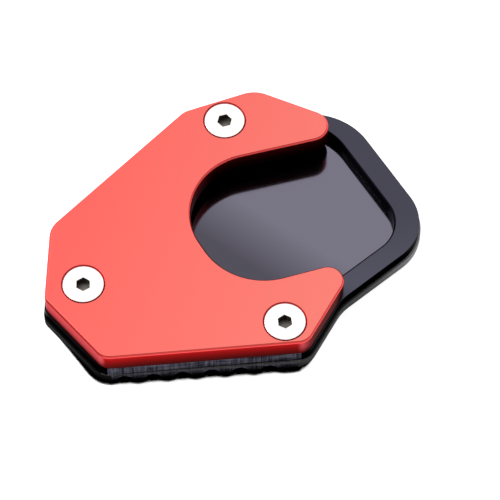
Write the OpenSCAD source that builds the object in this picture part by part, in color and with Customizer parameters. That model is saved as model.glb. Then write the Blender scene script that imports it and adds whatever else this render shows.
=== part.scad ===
// Kickstand foot enlarger: a base plate with a pocket for the foot of a
// motorbike's side stand, a clamp plate with a U-shaped cut that closes over the
// foot, and three countersunk screws that hold the two plates together.
// The underside of the base is at z = 0, the front edge runs along X, and the
// origin is on the underside, about in the middle of the part.

/* [Thickness] */
// Thickness of the base plate
base_t = 6; // [5.5:0.1:10]
// Thickness of the clamp plate
clamp_t = 5.7; // [5:0.1:8]
// Thickness of the floor under the foot pocket
floor_t = 2.4; // [1.6:0.1:3]

/* [Outline] */
// How far the front edge lies in front of the middle
front_y = 37.5; // [36:0.5:45]
// Step of the base plate outside the clamp plate at the back and the lower left
side_step = 0.2; // [0.1:0.1:1.5]
// Step of the base plate outside the clamp plate on the left
left_step = 0.3; // [0.1:0.1:1.5]
// Step of the base plate outside the clamp plate at the front right
right_step = 0.1; // [0.1:0.1:1.5]
// Height of the wider band at the foot of the base plate's wall
band_h = 2.6; // [2.2:0.1:4]
// How far that band stands out from the wall above it
band_step = 0.5; // [0.1:0.1:0.8]
// How far the band stands out from the wall on the left
band_left_step = 0.3; // [0.1:0.1:0.8]
// How far the band stands out from the front face at that face's left end
band_front_left_step = 0.2; // [0.1:0.1:0.8]
// How far the band stands out from the front face at that face's right end
band_front_right_step = 0.7; // [0.1:0.1:0.8]
// Radius of the clamp plate's left corner
left_r = 3; // [1:0.5:6]
// Radius of the clamp plate's upper left corner
upper_left_r = 6.5; // [1:0.5:8]
// Radius of the clamp plate's corner at the back left
back_left_r = 6; // [1:0.5:8]
// Radius of the clamp plate's back corner
back_r = 8; // [1:0.5:10]
// Radius of the corners at the ends of the front edge
front_r = 4; // [1:0.5:6]
// Radius of that band's corners at the ends of the front edge
band_front_r = 6.5; // [4:0.5:8]
// Radius of the clamp plate's back prong tip
back_tip_r = 4.5; // [2:0.5:5]
// Radius of the clamp plate's front prong tip
front_tip_r = 4; // [2:0.5:5]

/* [Foot pocket] */
// Width of the rim at the side, round the open end of the pocket
rim_w = 6; // [4:0.1:8]
// Width of the rim at the front, next to the front prong
rim_front_w = 5.2; // [4:0.1:8]
// How far the pocket reaches under the clamp plate, past the U-shaped cut
undercut = 5; // [3:0.5:6]
// Radius of the U-shaped cut's two inner corners
cut_r = 17; // [8:0.5:18]
// Radius of the rim's back corner
rim_back_r = 17; // [10:0.5:20]
// Radius of the rim's right corner
rim_right_r = 13; // [10:0.5:18]
// Radius where the rim runs into the front right side
rim_blend_r = 14; // [4:1:20]
// Radius of the pocket's back corner
pocket_back_r = 15.5; // [8:0.5:18]
// Radius of the pocket's right corner
pocket_right_r = 9.5; // [4:0.5:12]
// Radius of the pocket's corners under the clamp plate
pocket_r = 12; // [6:1:18]

/* [Screws] */
// Diameter of the screws
screw_d = 5; // [4:0.5:6]
// Length of the screws over their heads
screw_len = 10; // [8:1:10]
// Diameter of the screw heads
head_d = 10.2; // [9:0.1:12]
// Height of the heads' straight edge
head_land = 0.4; // [0.4:0.1:0.6]
// Depth of the heads below the clamp plate's top
head_sink = 0.1; // [0.1:0.1:0.8]
// Gap round the heads in their countersinks
head_gap = 0.4; // [0.1:0.1:0.4]
// Width of the hexagonal sockets across their flats
socket_w = 3.3; // [2.5:0.1:4]
// Depth of the sockets
socket_depth = 2; // [1:0.25:2.5]
// Gap round the screws in the clamp plate
shank_gap = 0.25; // [0.1:0.05:0.5]
// Gap round the screws in the base plate's holes
thread_gap = 0.1; // [0.05:0.05:0.2]

/* [Grip grooves] */
// Number of grooves in the lower front edge
groove_n = 6; // [1:1:6]
// Distance between two grooves
groove_pitch = 7.2; // [5:0.2:7.6]
// Radius of the grooves
groove_r = 1.8; // [1:0.1:1.8]
// Height of the grooves
groove_h = 2; // [1.9:0.1:2.2]
// Length of the grooves back from the front face
groove_len = 2.8; // [2.6:0.1:3]
// Radius of the lobes' edges between the grooves
lobe_r = 0.9; // [0.3:0.1:1]

/* [Hidden] */

$fn = 96;
// Length by which a cutter overshoots what it cuts
over = 0.5;
// Greatest distance between two points on an outline's arcs
facet_w = 0.4;
top_z = base_t + clamp_t;
screw_r = screw_d / 2;
head_r = head_d / 2;

// Corners of the clamp plate, counter-clockwise, each with x, y and radius
left_corner = [-47.6, -19.6, left_r];
upper_left_corner = [-44.9, 1, upper_left_r];
back_left_corner = [-8.6, 32.3, back_left_r];
back_corner = [10.1, 37.2, back_r];
back_tip = [37, 22.8, back_tip_r];
front_tip = [31.7, -14.7, front_tip_r];
front_right_corner = [16.2, -front_y, front_r];
front_left_corner = [-34.4, -front_y, front_r];
cut_back_corner = [-17.9, 13.5, cut_r];
cut_front_corner = [-0.8, -21.3, cut_r];
clamp_corners = [
    front_left_corner, front_right_corner, front_tip, cut_front_corner, cut_back_corner,
    back_tip, back_corner, back_left_corner, upper_left_corner, left_corner
];

// Corners of the rim beyond the prongs, where the foot's toe points
rim_back_corner = [34.5, 28.8, rim_back_r];
rim_right_corner = [52, -5.4, rim_right_r];
// A point on the rim's front side, next to the front prong
rim_front_point = [27.2, -22.5];
// Centre of the pocket's back corner, and the way its wall runs on from there
pocket_back_centre = [17.8, 14.5];
pocket_back_angle = 40;

// Screw axes
screw_places = [[1.5, 28.5], [-37.7, -16.2], [11.1, -31.3]];
// Turn of each screw's socket
socket_turns = [10, 25, 30];

// Middle of the row of grooves
groove_mid_x = -11.4;

function flat(p) = [p.x, p.y];
function turn_of(a, b) = a.x * b.y - a.y * b.x;
function dot_of(a, b) = a.x * b.x + a.y * b.y;
function before(c, i) = (i + len(c) - 1) % len(c);
function after(c, i) = (i + 1) % len(c);
function direction(a, b) = (flat(b) - flat(a)) / norm(flat(b) - flat(a));
function side(c, i) = direction(c[i], c[after(c, i)]);

// Where the line through a along u meets the line through b along v
function meeting(a, u, b, v) = flat(a) + u * turn_of(flat(b) - flat(a), v) / turn_of(u, v);

// A point moved to the right of a direction, which is outwards for the outlines
function outwards(p, u, d) = flat(p) + d * [u.y, -u.x];

// The corners after each side i has moved outwards by out[i]; the radii follow
function widened(c, out) = [
    for (i = [0 : len(c) - 1])
    let (
        j = before(c, i),
        u = side(c, j),
        v = side(c, i),
        p = meeting(outwards(c[i], u, out[j]), u, outwards(c[i], v, out[i]), v),
        grow = min(out[j], out[i])
    )
    [p.x, p.y, c[i].z + (turn_of(u, v) > 0 ? grow : -grow)]
];

// The arc that rounds a corner: which way it turns, by how much, where it starts, its centre
function is_convex(c, i) = turn_of(side(c, before(c, i)), side(c, i)) > 0;
function turn_angle(c, i) = acos(dot_of(side(c, before(c, i)), side(c, i)));
function arc_start(c, i) = flat(c[i]) - c[i].z * tan(turn_angle(c, i) / 2) * side(c, before(c, i));
function arc_centre(c, i) =
    outwards(arc_start(c, i), side(c, before(c, i)), is_convex(c, i) ? -c[i].z : c[i].z);

// Points along one corner's arc
function arc_points(c, i) =
    let (
        u = side(c, before(c, i)),
        bulge = is_convex(c, i) ? 1 : -1,
        first = atan2(-bulge * u.x, bulge * u.y),
        steps = ceil(turn_angle(c, i) / 180 * PI * c[i].z / facet_w)
    )
    [
        for (k = [0 : steps])
        let (a = first + bulge * k / steps * turn_angle(c, i))
        arc_centre(c, i) + c[i].z * [cos(a), sin(a)]
    ];

// Outline with straight sides that run smoothly into round corners
function rounded(c) = [for (i = [0 : len(c) - 1]) each arc_points(c, i)];

// Corners of the base plate: the clamp plate's outside, widened, and the rim
left_dir = direction(left_corner, front_left_corner);
upper_left_dir = direction(upper_left_corner, left_corner);
back_left_dir = direction(back_left_corner, upper_left_corner);
back_dir = direction(back_corner, back_left_corner);
right_dir = direction(front_right_corner, front_tip);
rim_front_dir = direction(rim_front_point, rim_right_corner);
prong_back_dir = direction(back_tip, back_corner);
front_dir = [1, 0];
function with_radius(p, r) = [p.x, p.y, r];
base_corners = [
    with_radius(
        meeting(outwards(left_corner, left_dir, side_step), left_dir, front_left_corner, front_dir), front_r
    ),
    with_radius(
        meeting(front_right_corner, front_dir, outwards(front_tip, right_dir, right_step), right_dir), front_r
    ),
    with_radius(
        meeting(outwards(front_tip, right_dir, right_step), right_dir, rim_right_corner, rim_front_dir),
        rim_blend_r
    ),
    rim_right_corner,
    rim_back_corner,
    with_radius(
        meeting(
            outwards(back_corner, prong_back_dir, side_step), prong_back_dir,
            outwards(back_corner, back_dir, side_step), back_dir
        ),
        back_r + side_step
    ),
    with_radius(
        meeting(
            outwards(back_left_corner, back_dir, side_step), back_dir,
            outwards(back_left_corner, back_left_dir, side_step), back_left_dir
        ),
        back_left_r + side_step
    ),
    with_radius(
        meeting(
            outwards(upper_left_corner, back_left_dir, side_step), back_left_dir,
            outwards(upper_left_corner, upper_left_dir, left_step), upper_left_dir
        ),
        upper_left_r + side_step
    ),
    with_radius(
        meeting(
            outwards(left_corner, upper_left_dir, left_step), upper_left_dir,
            outwards(left_corner, left_dir, side_step), left_dir
        ),
        left_r + side_step
    )
];

// Corners of the band: the base plate's, moved outwards side by side
front_side = 0;
left_side = 7;
band_out = [
    for (i = [0 : len(base_corners) - 1])
        i == front_side ? band_front_left_step : i == left_side ? band_left_step : band_step
];
band_wide = widened(base_corners, band_out);
// The front face is cut flat through both plates, and the band leaves it towards the right
band_front_turn = [0, band_front_right_step - band_front_left_step];
band_front_dir = direction(band_wide[0], flat(band_wide[1]) - band_front_turn);
band_right_corner = meeting(band_wide[0], band_front_dir, band_wide[1], right_dir);
band_corners = [
    with_radius(band_wide[0], band_front_r),
    with_radius(band_right_corner, band_front_r),
    for (i = [2 : len(band_wide) - 1]) band_wide[i]
];

// Corners of the foot pocket: inside the rim where it shows, past the cut below the plate
cut_front_dir = direction(cut_front_corner, front_tip);
cut_side_dir = direction(cut_back_corner, cut_front_corner);
cut_back_dir = direction(back_tip, cut_back_corner);
rim_side_dir = direction(rim_right_corner, rim_back_corner);
pocket_front_line = outwards(rim_right_corner, rim_front_dir, -rim_front_w);
pocket_side_line = outwards(rim_right_corner, rim_side_dir, -rim_w);
under_front_line = outwards(cut_front_corner, cut_front_dir, undercut);
under_side_line = outwards(cut_front_corner, cut_side_dir, undercut);
under_back_line = outwards(cut_back_corner, cut_back_dir, undercut);
pocket_back_dir = [-cos(pocket_back_angle), -sin(pocket_back_angle)];
pocket_back_line = outwards(pocket_back_centre, pocket_back_dir, pocket_back_r);
pocket_corners = [
    with_radius(meeting(under_front_line, cut_front_dir, pocket_front_line, rim_front_dir), pocket_r),
    with_radius(
        meeting(pocket_front_line, rim_front_dir, pocket_side_line, rim_side_dir), pocket_right_r
    ),
    with_radius(
        meeting(pocket_side_line, rim_side_dir, pocket_back_line, pocket_back_dir), pocket_back_r
    ),
    with_radius(meeting(pocket_back_line, pocket_back_dir, under_back_line, cut_back_dir), pocket_r),
    with_radius(meeting(under_back_line, cut_back_dir, under_side_line, cut_side_dir), cut_r),
    with_radius(meeting(under_side_line, cut_side_dir, under_front_line, cut_front_dir), cut_r)
];

// Plain through-holes for the screws
module screw_holes(radius, from_z, to_z) {
    for (p = screw_places)
        translate([p.x, p.y, from_z]) cylinder(h = to_z - from_z, r = radius);
}

// Seat of a screw head: straight at the top, then a right-angled cone
module countersink(p) {
    seat_r = head_r + head_gap;
    seat_z = top_z - head_sink - head_land + head_gap;
    translate([p.x, p.y, seat_z - seat_r]) cylinder(h = seat_r, r1 = 0, r2 = seat_r);
    translate([p.x, p.y, seat_z]) cylinder(h = top_z + over - seat_z, r = seat_r);
}

// Section of a groove: round at the top, with rounded edges at its mouth
module groove_section() {
    mouth_w = groove_r + lobe_r;
    translate([0, groove_h - groove_r]) circle(groove_r);
    translate([-groove_r, -over]) square([2 * groove_r, over + groove_h - groove_r]);
    difference() {
        translate([-mouth_w, -over]) square([2 * mouth_w, over + lobe_r]);
        for (side_x = [-mouth_w, mouth_w])
            translate([side_x, lobe_r]) circle(lobe_r);
    }
}

// One groove in the lower front edge, cut in from the front by a ball-nosed cutter
module groove(x) {
    ball_y = -front_y + groove_len - groove_r;
    translate([x, ball_y, groove_h - groove_r]) sphere(groove_r);
    translate([x, ball_y, 0]) rotate([90, 0, 0]) linear_extrude(groove_len + over) groove_section();
}

module base_plate() {
    color("#1c1c20") difference() {
        union() {
            linear_extrude(band_h) polygon(rounded(band_corners));
            linear_extrude(base_t) polygon(rounded(base_corners));
        }
        translate([0, 0, floor_t]) linear_extrude(base_t) polygon(rounded(pocket_corners));
        screw_holes(screw_r + thread_gap, -over, base_t + over);
        for (i = [0 : groove_n - 1])
            groove(groove_mid_x + (i - (groove_n - 1) / 2) * groove_pitch);
    }
}

module clamp_plate() {
    color("#d8242c") difference() {
        translate([0, 0, base_t]) linear_extrude(clamp_t) polygon(rounded(clamp_corners));
        screw_holes(screw_r + shank_gap, base_t - over, top_z + over);
        for (p = screw_places) countersink(p);
    }
}

module screw(p, socket_turn) {
    head_z = top_z - head_sink;
    cone_z = head_z - head_land;
    translate([p.x, p.y, 0]) difference() {
        union() {
            translate([0, 0, head_z - screw_len]) cylinder(h = screw_len, r = screw_r);
            translate([0, 0, cone_z]) cylinder(h = head_land, r = head_r);
            translate([0, 0, cone_z - head_r + screw_r])
                cylinder(h = head_r - screw_r, r1 = screw_r, r2 = head_r);
        }
        translate([0, 0, head_z - socket_depth])
            rotate(socket_turn)
                cylinder(h = socket_depth + over, r = socket_w / 2 / cos(30), $fn = 6);
    }
}

module screws() {
    color("#c9ccd1")
        for (i = [0 : len(screw_places) - 1])
            screw(screw_places[i], socket_turns[i]);
}

base_plate();
clamp_plate();
screws();
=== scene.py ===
"""A kickstand foot enlarger on a pale floor: two anodised plates and three countersunk screws."""

import math

import bmesh
import bpy
from mathutils import Matrix, Vector


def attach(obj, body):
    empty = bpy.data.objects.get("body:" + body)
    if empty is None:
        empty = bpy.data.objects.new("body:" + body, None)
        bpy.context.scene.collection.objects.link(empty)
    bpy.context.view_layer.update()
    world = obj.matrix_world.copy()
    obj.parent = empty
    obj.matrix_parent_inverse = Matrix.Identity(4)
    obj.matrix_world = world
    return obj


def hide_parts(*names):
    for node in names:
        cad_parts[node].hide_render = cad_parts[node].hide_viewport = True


MM = 0.001

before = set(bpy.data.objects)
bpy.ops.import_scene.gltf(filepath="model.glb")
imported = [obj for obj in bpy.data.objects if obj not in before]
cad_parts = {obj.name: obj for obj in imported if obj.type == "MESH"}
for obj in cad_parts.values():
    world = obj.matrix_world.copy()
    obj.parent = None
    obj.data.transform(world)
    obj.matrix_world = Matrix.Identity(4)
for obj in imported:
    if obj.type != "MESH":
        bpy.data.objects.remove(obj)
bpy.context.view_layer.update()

# The photograph's camera: focal length in picture widths, and how it stands to the part
FOCAL_WIDTHS = 6.2
SENSOR_MM = 36.0
CAMERA_PITCH = 59.91
CAMERA_HEADING = 5.65
CAMERA_ROLL = 0.354
CAMERA_DISTANCE = 773.5 * MM
CAMERA_NEAR = 10 * MM
AIM = Vector((4.5, -10.45, 11.7)) * MM
FRAMING_SHIFT = (-0.001, 0.001)

# Heights of the part's levels
BAND_TOP = 2.6 * MM
FLOOR_LEVEL = 2.4 * MM
BASE_TOP = 6 * MM
TOP_LEVEL = 11.7 * MM
LEVEL_REACH = 0.05 * MM

# Front face, grip grooves and screws, as they lie in the part
FRONT_FACE_Y = -37.5 * MM
GROOVES_BACK_Y = -34.5 * MM
LEDGE_FRONT_Y = -36.8 * MM
GROOVES_X = (-32 * MM, 9.2 * MM)
SCREW_PLACES = [Vector(p) * MM for p in ((1.5, 28.5), (-37.7, -16.2), (11.1, -31.3))]
HOLE_REACH = 3.5 * MM
COUNTERSINK_REACH = 6.5 * MM
SOCKET_REACH = 2.05 * MM

# Limits for a face's normal: its least share along the axis that the face looks along
FLAT_FACING = 0.99
UP_FACING = 0.9

# and the most that a steep side or an upright wall has of Z
STEEP = 0.5
UPRIGHT = 0.1

# Where painted light and shade change: a direction in plan, and how far along it the change starts
# and ends
ALONG_X = (1, 0)
ALONG_Y = (0, 1)
TO_THE_FRONT = (0, -1)
RIM_START_X = (22 * MM, 27 * MM)
RIM_FRONT = (0, 18 * MM)
MILLED_END_X = (15.4 * MM, 15.8 * MM)
BAND_MIDDLE_X = (-10 * MM, 20 * MM)
BAND_RIGHT_X = (20 * MM, 48 * MM)
PALER_WAY = (1, -0.36)
PALER_REACH = (-40 * MM, 32 * MM)
FLOOR_WAY = (0.66, 0.75)
FLOOR_REACH = (-4 * MM, 10 * MM)
LEFT_WALL_WAY = (-0.805, -0.5935)
LEFT_WALL_REACH = (49.3 * MM, 49.8 * MM)
RIGHT_CORNER_WAY = (0.467, -0.884)
RIGHT_CORNER_REACH = (39.5 * MM, 40.1 * MM)
RIGHT_WALL_WAY = (0.826, -0.563)
RIGHT_WALL_REACH = (33.4 * MM, 34.3 * MM)
CUT_REACH_X = (-22 * MM, -19 * MM)
CUT_FRONT_Y = (-23 * MM, -20 * MM)
CUT_BACK_Y = (22 * MM, 23.5 * MM)
CUT_DARK_FROM = 8 * MM
PAINTED_HIGHLIGHT_FROM = 6.3 * MM
PAINTED_HIGHLIGHT_FULL = 8.6 * MM

# Textures: their scales per metre and depths, and the values that they run between
GRAIN_SCALE = 9000
GRAIN_DEPTH = 0.02 * MM
MATT_GRAIN_SCALE = 2500
MARK_DEPTH = 0.03 * MM
MARKS_ACROSS = (3000, 1, 120)
MARKS_UPRIGHT = (150, 1, 2500)
CLOUD_SPREAD = (0.3, 0.7)
MARKS_SPREAD = (0.38, 0.62)

# The floor lies a hair below the part
FLOOR_SIZE = 6
FLOOR_GAP = 0.02 * MM
FLOOR_GREY = 0.85

# It is lifted to white, but not in a narrow painted shadow, darkened into its colour where the part
# stands on it, left of the rim
CAMERA_LIFT = 0.8
MIRROR_LIFT = 0.5
SHADOW_REACH = 3 * MM
SHADOW_SAMPLES = 32
SHADOW_OPEN = (0.775, 0.825)
SHADOW_END_WAY = (0.707, 0.707)
SHADOW_END_RIGHT = (-18 * MM, -11 * MM)
SHADOW_END_LEFT_Y = (-38 * MM, -20 * MM)
SHADOW_TAPER = 0.4

# The surroundings: bright near the horizon and dark above, by the sine of the height angle
WORLD_RISE = (0.5, 0.68)
WORLD_LEVELS = (0.7, 0.03)

# Lamps, turned to the part: place, width, height and the brightness of the face
LAMPS = {
    "overhead": (Vector((0, 0.6, 1.2)), 1.8, 1.2, 1.06),
    "left": (Vector((-1.0, 0.35, 1.05)), 1.1, 1.1, 4.0),
}

# Edges
CLAMP_CHAMFER = 0.42 * MM
CHAMFER_ROUND = 0.18 * MM
CLAMP_ROUND = 0.1 * MM
BASE_ROUND = 0.2 * MM
LEDGE_ROUND = 0.04 * MM
POCKET_ROUND = 0.45 * MM
EDGE_REACH = 0.06 * MM
SCREW_ROUND = 0.1 * MM
SHARP_ANGLE = math.radians(25)
SMOOTH_ANGLE = math.radians(30)
FLAT_ANGLE = math.radians(0.1)
WELD = 0.002 * MM
NO_WIDTH = 0.0001 * MM


def add_camera():
    """The photograph's view: down from the front, a little from the left."""
    pitch, heading, roll = (math.radians(a) for a in (CAMERA_PITCH, CAMERA_HEADING, CAMERA_ROLL))
    ahead = Vector((math.sin(heading), math.cos(heading), 0))
    forward = ahead * math.cos(pitch) - Vector((0, 0, math.sin(pitch)))
    level = Vector((math.cos(heading), -math.sin(heading), 0))
    down = forward.cross(level)
    right = level * math.cos(roll) - down * math.sin(roll)
    up = -(level * math.sin(roll) + down * math.cos(roll))
    data = bpy.data.cameras.new("camera")
    data.sensor_width = SENSOR_MM
    data.lens = FOCAL_WIDTHS * SENSOR_MM
    data.shift_x, data.shift_y = FRAMING_SHIFT
    data.clip_start = CAMERA_NEAR
    camera = bpy.data.objects.new("camera", data)
    turn = Matrix((right, up, -forward)).transposed().to_4x4()
    camera.matrix_world = Matrix.Translation(AIM - forward * CAMERA_DISTANCE) @ turn
    bpy.context.scene.collection.objects.link(camera)
    bpy.context.scene.camera = camera


class Nodes:
    """Short calls for building the node tree of a material or of the world."""

    def __init__(self, owner, shader="Principled BSDF", place="Object"):
        owner.use_nodes = True
        self.tree = owner.node_tree
        self.shader = self.tree.nodes[shader]
        self.where = self.add("ShaderNodeTexCoord").outputs[place]

    def add(self, kind, inputs=None, **settings):
        node = self.tree.nodes.new(kind)
        for name, value in settings.items():
            setattr(node, name, value)
        for name, value in (inputs or {}).items():
            self.feed(node, name, value)
        return node

    def feed(self, node, name, value):
        if isinstance(value, bpy.types.NodeSocket):
            self.tree.links.new(value, node.inputs[name])
        else:
            node.inputs[name].default_value = value

    def set(self, **values):
        for name, value in values.items():
            self.feed(self.shader, name.replace("_", " "), value)

    def math(self, kind, a, b):
        node = self.add("ShaderNodeMath", operation=kind)
        self.feed(node, 0, a)
        self.feed(node, 1, b)
        return node.outputs["Value"]

    def times(self, a, b):
        return self.math("MULTIPLY", a, b)

    def ramp(self, value, low, high, out_low, out_high):
        node = self.add("ShaderNodeMapRange", {
            "Value": value, "From Min": low, "From Max": high,
            "To Min": out_low, "To Max": out_high,
        })
        return node.outputs["Result"]

    def axis(self, name):
        return self.add("ShaderNodeSeparateXYZ", {"Vector": self.where}).outputs[name]

    def slope(self, way, low, high, out_low, out_high):
        """A value that changes evenly across the plate, along a direction in plan."""
        along = self.math("ADD", *(self.times(self.axis(a), w) for a, w in zip("XY", way)))
        return self.ramp(along, low, high, out_low, out_high)

    def noise(self, scale, detail=2.0, stretch=None):
        vector = self.where
        if stretch:
            vector = self.add("ShaderNodeMapping", {"Vector": vector, "Scale": stretch}).outputs[0]
        inputs = {"Vector": vector, "Scale": scale, "Detail": detail}
        return self.add("ShaderNodeTexNoise", inputs).outputs["Fac"]

    def cloud(self, scale, out_low, out_high, detail=3.0):
        """A value that drifts softly between two others."""
        return self.ramp(self.noise(scale, detail), *CLOUD_SPREAD, out_low, out_high)

    def bump(self, height, strength, distance):
        inputs = {"Height": height, "Strength": strength, "Distance": distance}
        return self.add("ShaderNodeBump", inputs).outputs["Normal"]

    def tint(self, *parts):
        """The sum of colours, each of them times a value."""
        channels = {}
        for i, name in enumerate(("Red", "Green", "Blue")):
            total, *rest = [self.times(value, colour[i]) for value, colour in parts]
            for more in rest:
                total = self.math("ADD", total, more)
            channels[name] = total
        return self.add("ShaderNodeCombineColor", channels).outputs["Color"]


def make_material(name, look):
    """A material whose nodes are set by look, one of the functions below."""
    material = bpy.data.materials.new(name)
    look(Nodes(material))
    return material


def make_materials(*looks):
    """One material for each look, with the same name."""
    return [make_material(look.__name__, look) for look in looks]


def red_top(n):
    """Fine-blasted, red dyed, with a clear sealed surface, and a painted sheen that makes it a
    little paler towards the right.
    """
    # Painted sheen: the red gets paler towards the right
    paler = n.slope(PALER_WAY, *PALER_REACH, 0.085, 0.165)
    n.set(
        Base_Color=n.tint((1, (0.9, 0, 0)), (paler, (0, 1, 0.78))),
        Metallic=1.0,
        Roughness=n.cloud(60, 0.3, 0.35),
        Normal=n.bump(n.noise(GRAIN_SCALE), 0.1, GRAIN_DEPTH),
        Coat_Weight=1.0,
        Coat_Roughness=0.25,
        Coat_IOR=1.6,
    )


def red_wall(n):
    """The clamp plate's walls and countersinks: a deeper, smoother red, with painted shade darker
    towards the foot.
    """
    height = n.axis("Z")
    # Painted shade: the red fades darker towards the foot
    share = n.math("POWER", n.ramp(height, BASE_TOP, TOP_LEVEL, 0.3, 1), 2)

    # Painted shade: darker on the right wall and inside the cut, there most of all near the foot
    share = n.times(share, n.slope(RIGHT_WALL_WAY, *RIGHT_WALL_REACH, 1, 0.12))
    beside_cut = n.times(n.slope(ALONG_Y, *CUT_FRONT_Y, 0, 1), n.slope(ALONG_Y, *CUT_BACK_Y, 1, 0))
    cut_painted_shade = n.times(n.slope(ALONG_X, *CUT_REACH_X, 0, 0.65), beside_cut)
    cut_painted_shade = n.times(cut_painted_shade, n.ramp(height, CUT_DARK_FROM, TOP_LEVEL, 1, 0.3))
    share = n.times(share, n.math("SUBTRACT", 1.0, cut_painted_shade))

    # Painted highlight: paler on the left wall and at the front right corner
    painted_highlight = n.math("MAXIMUM", n.slope(LEFT_WALL_WAY, *LEFT_WALL_REACH, 0, 1),
                  n.slope(RIGHT_CORNER_WAY, *RIGHT_CORNER_REACH, 0, 0.7))
    painted_highlight = n.times(painted_highlight, n.ramp(height, PAINTED_HIGHLIGHT_FROM, PAINTED_HIGHLIGHT_FULL, 0, 1))
    n.set(
        Base_Color=n.tint((share, (0.6, 0.03, 0.032)), (painted_highlight, (0.42, 0.12, 0.14))),
        Metallic=0.85,
        Roughness=n.cloud(60, 0.16, 0.22),
        Specular_IOR_Level=0.1,
        Specular_Tint=(0.6, 0.27, 0.27, 1),
    )


def red_chamfer(n):
    """The clamp plate's chamfer: cut bright before it was dyed, with painted shade that makes it
    darker along the left wall.
    """
    # Painted shade: the chamfer darkens along the left wall
    share = n.slope(LEFT_WALL_WAY, *LEFT_WALL_REACH, 1, 0.45)
    n.set(
        Base_Color=n.tint((share, (0.95, 0.09, 0.085))),
        Metallic=1.0,
        Roughness=n.cloud(60, 0.2, 0.26),
        Specular_Tint=(1, 0.6, 0.6, 1),
    )


def black_top(n):
    """The rim's satin face: black with a violet sheen, with painted light paler towards the front,
    and painted shade deep black beside the clamp plate.
    """
    # Painted light towards the front, and painted shade beside the clamp plate
    grey = n.times(n.slope(TO_THE_FRONT, *RIM_FRONT, 0.062, 0.083),
                   n.slope(ALONG_X, *RIM_START_X, 0.1, 1))
    n.set(
        Base_Color=n.tint((grey, (1.03, 1, 1.38))),
        Metallic=1.0,
        Roughness=n.cloud(80, 0.3, 0.36),
        Normal=n.bump(n.noise(GRAIN_SCALE), 0.1, GRAIN_DEPTH),
    )


def black_floor(n):
    """The pocket's floor: milled smooth, so it mirrors the prongs above it, with a painted sheen
    paler towards the back right.
    """
    # Painted sheen: the floor's colour grows paler towards the back right
    grey = n.slope(FLOOR_WAY, *FLOOR_REACH, 0.075, 0.165)
    n.set(
        Base_Color=n.tint((grey, (1.06, 1, 1.3))),
        Metallic=1.0,
        Roughness=n.cloud(45, 0.07, 0.12),
    )


def black_wall(n):
    """Upright walls of the base: deep black with little sheen."""
    n.set(
        Base_Color=(0.006, 0.005, 0.008, 1),
        Metallic=1.0,
        Roughness=0.3,
        Specular_Tint=(0.4, 0.4, 0.4, 1),
        Normal=n.bump(n.noise(GRAIN_SCALE), 0.08, GRAIN_DEPTH),
    )


def black_band(n):
    """The band at the base's foot: matt, with painted light that runs from black on the left to
    grey towards the rim's right end.
    """
    # Painted light: the band's grey rises from black on the left towards the rim's right end
    along = n.axis("X")
    painted_light_right = n.math("POWER", n.ramp(along, *BAND_RIGHT_X, 0, 1), 3)
    grey = n.math("ADD", n.ramp(along, *BAND_MIDDLE_X, 0.003, 0.045), n.times(painted_light_right, 0.4))
    n.set(
        Base_Color=n.tint((grey, (1, 1, 1.04))),
        Roughness=0.6,
        Specular_IOR_Level=n.ramp(along, *BAND_MIDDLE_X, 0.04, 0.2),
        Normal=n.bump(n.noise(MATT_GRAIN_SCALE), 0.1, MARK_DEPTH),
    )


def black_milled(n):
    """The flat front face: bluish grey with crossed tool marks, and a painted highlight at its
    right end.
    """
    marks = n.math("ADD", n.noise(1.0, stretch=MARKS_ACROSS), n.noise(1.0, stretch=MARKS_UPRIGHT))
    marks = n.times(marks, 0.5)
    # Painted highlight: the face turns bright at its right end
    painted_end_highlight = n.ramp(n.axis("X"), *MILLED_END_X, 0, 0.35)
    grey = n.math("ADD", n.ramp(marks, *MARKS_SPREAD, 0.008, 0.17), painted_end_highlight)
    n.set(
        Base_Color=n.tint((grey, (0.95, 0.93, 1.2))),
        Metallic=1.0,
        Roughness=0.35,
        Specular_Tint=(0.3, 0.3, 0.3, 1),
        Normal=n.bump(marks, 0.25, MARK_DEPTH),
    )


def black_ledge(n):
    """The narrow ledge along the front, matt where the mill left the face above it."""
    n.set(
        Base_Color=n.tint((n.cloud(1500, 0.12, 0.22, detail=2.0), (1, 1, 1))),
        Roughness=0.7,
        Specular_IOR_Level=0.1,
    )


def screw_steel(n):
    """Bright turned steel."""
    n.set(Base_Color=(0.97, 0.965, 0.95, 1), Metallic=1.0, Roughness=n.cloud(300, 0.22, 0.3))


def socket_painted_shade(n):
    """The broached sockets' inside, with the steel darkened as painted shade in the recess."""
    n.set(
        # Painted shade: the steel is darkened inside the socket
        Base_Color=(0.2, 0.18, 0.16, 1),
        Metallic=1.0,
        Roughness=n.cloud(900, 0.4, 0.55, detail=2.0),
    )


def white_floor(n):
    """White to the camera and in mirrors, but with a narrow painted shadow near the part, darkened
    into its colour and its glow.
    """
    path = n.add("ShaderNodeLightPath").outputs
    mirrored = n.math("MAXIMUM", path["Is Glossy Ray"], path["Is Transmission Ray"])
    lift = n.math("MAXIMUM", n.times(path["Is Camera Ray"], CAMERA_LIFT),
                  n.times(mirrored, MIRROR_LIFT))
    # Painted shadow: near the part the floor's colour and glow are darkened by how much the part
    # hides it
    near = n.add("ShaderNodeAmbientOcclusion", {"Distance": SHADOW_REACH}, samples=SHADOW_SAMPLES)
    beside = n.math("MAXIMUM", n.slope(SHADOW_END_WAY, *SHADOW_END_RIGHT, 0, 1),
                    n.slope(ALONG_Y, *SHADOW_END_LEFT_Y, 0, 1))
    opened = n.math("ADD", near.outputs["AO"], n.times(beside, SHADOW_TAPER))
    outside_painted_shadow = n.ramp(opened, *SHADOW_OPEN, 0, 1)
    n.set(
        Base_Color=n.tint((outside_painted_shadow, (FLOOR_GREY,) * 3)),
        Roughness=0.9,
        Specular_IOR_Level=0.0,
        Emission_Color=(1, 1, 1, 1),
        Emission_Strength=n.times(lift, outside_painted_shadow),
    )


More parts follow.
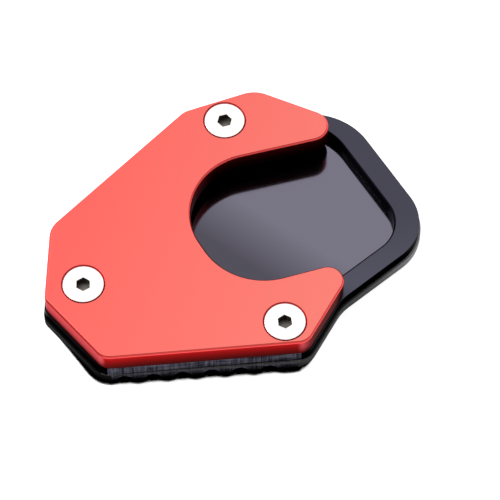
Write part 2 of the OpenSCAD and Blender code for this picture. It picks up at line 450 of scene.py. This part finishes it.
def welded(node):
    """A bmesh of a CAD node's faces, joined along their edges, with flat areas as single faces."""
    bm = bmesh.new()
    bm.from_mesh(node.data)
    bmesh.ops.remove_doubles(bm, verts=bm.verts, dist=WELD)
    bmesh.ops.dissolve_limit(bm, angle_limit=FLAT_ANGLE, verts=bm.verts, edges=bm.edges)
    return bm


def sharp_edges(bm):
    return [e for e in bm.edges if len(e.link_faces) == 2 and e.calc_face_angle(0) > SHARP_ANGLE]


def add_piece(bm, name, materials, replaced):
    """Turns a bmesh into a smooth-shaded piece that stands for a CAD node."""
    mesh = bpy.data.meshes.new(name)
    bm.to_mesh(mesh)
    bm.free()
    for material in materials:
        mesh.materials.append(material)
    mesh.polygons.foreach_set("use_smooth", [True] * len(mesh.polygons))
    mesh.set_sharp_from_angle(angle=SMOOTH_ANGLE)
    piece = bpy.data.objects.new(name, mesh)
    bpy.context.scene.collection.objects.link(piece)
    weighted = piece.modifiers.new("weighted", "WEIGHTED_NORMAL")
    weighted.keep_sharp = True
    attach(piece, "root")
    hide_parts(replaced)


def round_edges(bm, edges, width, segments=2, material=-1):
    bmesh.ops.bevel(bm, geom=edges, offset=width, segments=segments, profile=0.5, affect="EDGES",
                    clamp_overlap=True, material=material)


def near_a_screw(point, reach):
    return any((point.xy - place).length < reach for place in SCREW_PLACES)


def base_part_of(face):
    """Which of the base plate's finishes a face has."""
    centre, normal = face.calc_center_median(), face.normal
    if normal.z > UP_FACING:
        if centre.z > BASE_TOP - LEVEL_REACH:
            return "top"
        if abs(centre.z - FLOOR_LEVEL) < LEVEL_REACH:
            return "floor"
        in_front = all(v.co.y < LEDGE_FRONT_Y + LEVEL_REACH for v in face.verts)
        return "ledge" if in_front else "band"
    if normal.y < -FLAT_FACING and centre.y < FRONT_FACE_Y + LEVEL_REACH:
        return "front"
    low = all(v.co.z < BAND_TOP + LEVEL_REACH for v in face.verts)
    in_grooves = GROOVES_X[0] < centre.x < GROOVES_X[1] and centre.y < GROOVES_BACK_Y
    if low and abs(normal.z) < STEEP and not in_grooves and not near_a_screw(centre, HOLE_REACH):
        return "band"
    return "wall"


def is_level(edge, height):
    return all(abs(v.co.z - height) < EDGE_REACH for v in edge.verts)


def is_pocket_wall(face):
    foot = min(v.co.z for v in face.verts)
    return abs(face.normal.z) < UPRIGHT and abs(foot - FLOOR_LEVEL) < LEVEL_REACH


def is_ledge(face):
    at_band_top = abs(face.calc_center_median().z - BAND_TOP) < LEVEL_REACH
    return face.normal.z > UP_FACING and at_band_top


def make_base():
    """The base plate. Its ledge is cut in two along the front, so that the halves differ."""
    looks = {
        "top": black_top, "floor": black_floor, "wall": black_wall, "band": black_band,
        "front": black_milled, "ledge": black_ledge,
    }
    names = list(looks)
    bm = welded(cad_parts["base_plate"])
    ledge = [f for f in bm.faces if is_ledge(f)]
    cut = ledge + [e for f in ledge for e in f.edges] + [v for f in ledge for v in f.verts]
    bmesh.ops.bisect_plane(bm, geom=list(dict.fromkeys(cut)), plane_co=(0, LEDGE_FRONT_Y, 0),
                           plane_no=(0, 1, 0))
    for face in bm.faces:
        face.material_index = names.index(base_part_of(face))
    round_edges(bm, [e for e in sharp_edges(bm) if is_level(e, BAND_TOP)], LEDGE_ROUND)
    pocket_top = [
        e for e in sharp_edges(bm)
        if is_level(e, BASE_TOP) and any(is_pocket_wall(f) for f in e.link_faces)
    ]
    round_edges(bm, pocket_top, POCKET_ROUND, segments=3, material=names.index("wall"))
    round_edges(bm, [e for e in sharp_edges(bm) if not is_level(e, BAND_TOP)], BASE_ROUND)
    add_piece(bm, "base", make_materials(*looks.values()), "base_plate")


def make_clamp():
    """The clamp plate with its chamfer, which runs round the top edge but not round the screws."""
    top, wall, chamfer = range(3)
    chamfer_top = TOP_LEVEL - LEVEL_REACH
    bm = welded(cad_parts["clamp_plate"])
    rim = [
        e for e in sharp_edges(bm)
        if all(v.co.z > chamfer_top for v in e.verts)
        and not near_a_screw(e.verts[0].co, COUNTERSINK_REACH)
    ]
    for face in bm.faces:
        on_top = face.normal.z > FLAT_FACING and face.calc_center_median().z > chamfer_top
        face.material_index = top if on_top else wall
    round_edges(bm, rim, CLAMP_CHAMFER, segments=1, material=chamfer)
    below = [
        e for e in sharp_edges(bm)
        if {f.material_index for f in e.link_faces} == {wall, chamfer}
        and e.verts[0].co.z < chamfer_top
    ]
    round_edges(bm, below, CHAMFER_ROUND, material=chamfer)
    round_edges(bm, sharp_edges(bm), CLAMP_ROUND)

    # Where two roundings meet above a countersink they leave faces without area
    bmesh.ops.dissolve_degenerate(bm, dist=NO_WIDTH, edges=bm.edges)
    materials = make_materials(red_top, red_wall, red_chamfer)
    add_piece(bm, "clamp", materials, "clamp_plate")


def make_screws():
    outside, socket = range(2)
    bm = welded(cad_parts["screws"])
    # Faces inside the sockets get the steel darkened as painted shade
    for face in bm.faces:
        inside = all(near_a_screw(v.co, SOCKET_REACH) and v.co.z > BASE_TOP for v in face.verts)
        face.material_index = socket if inside else outside
    round_edges(bm, sharp_edges(bm), SCREW_ROUND)
    materials = make_materials(screw_steel, socket_painted_shade)
    add_piece(bm, "screws_turned", materials, "screws")


def add_floor():
    bpy.ops.mesh.primitive_plane_add(size=FLOOR_SIZE, location=(0, 0, -FLOOR_GAP))
    floor = bpy.context.object
    floor.name = "floor"
    floor.data.materials.append(make_material("floor_white", white_floor))


def add_world():
    world = bpy.data.worlds.new("studio")
    n = Nodes(world, "Background", "Generated")
    n.set(Color=(1, 1, 1, 1), Strength=n.ramp(n.axis("Z"), *WORLD_RISE, *WORLD_LEVELS))
    bpy.context.scene.world = world


def add_lamps():
    """Rectangular lamps, whose power gives the face its brightness at any size."""
    for name, (place, width, height, brightness) in LAMPS.items():
        data = bpy.data.lights.new(name, "AREA")
        data.shape = "RECTANGLE"
        data.size = width
        data.size_y = height
        data.energy = brightness * math.pi * width * height
        lamp = bpy.data.objects.new(name, data)
        turn = place.to_track_quat("Z", "Y").to_matrix().to_4x4()
        lamp.matrix_world = Matrix.Translation(place) @ turn
        bpy.context.scene.collection.objects.link(lamp)


add_camera()
add_world()
add_lamps()
add_floor()
make_base()
make_clamp()
make_screws()
bpy.context.scene.view_settings.view_transform = "Standard"
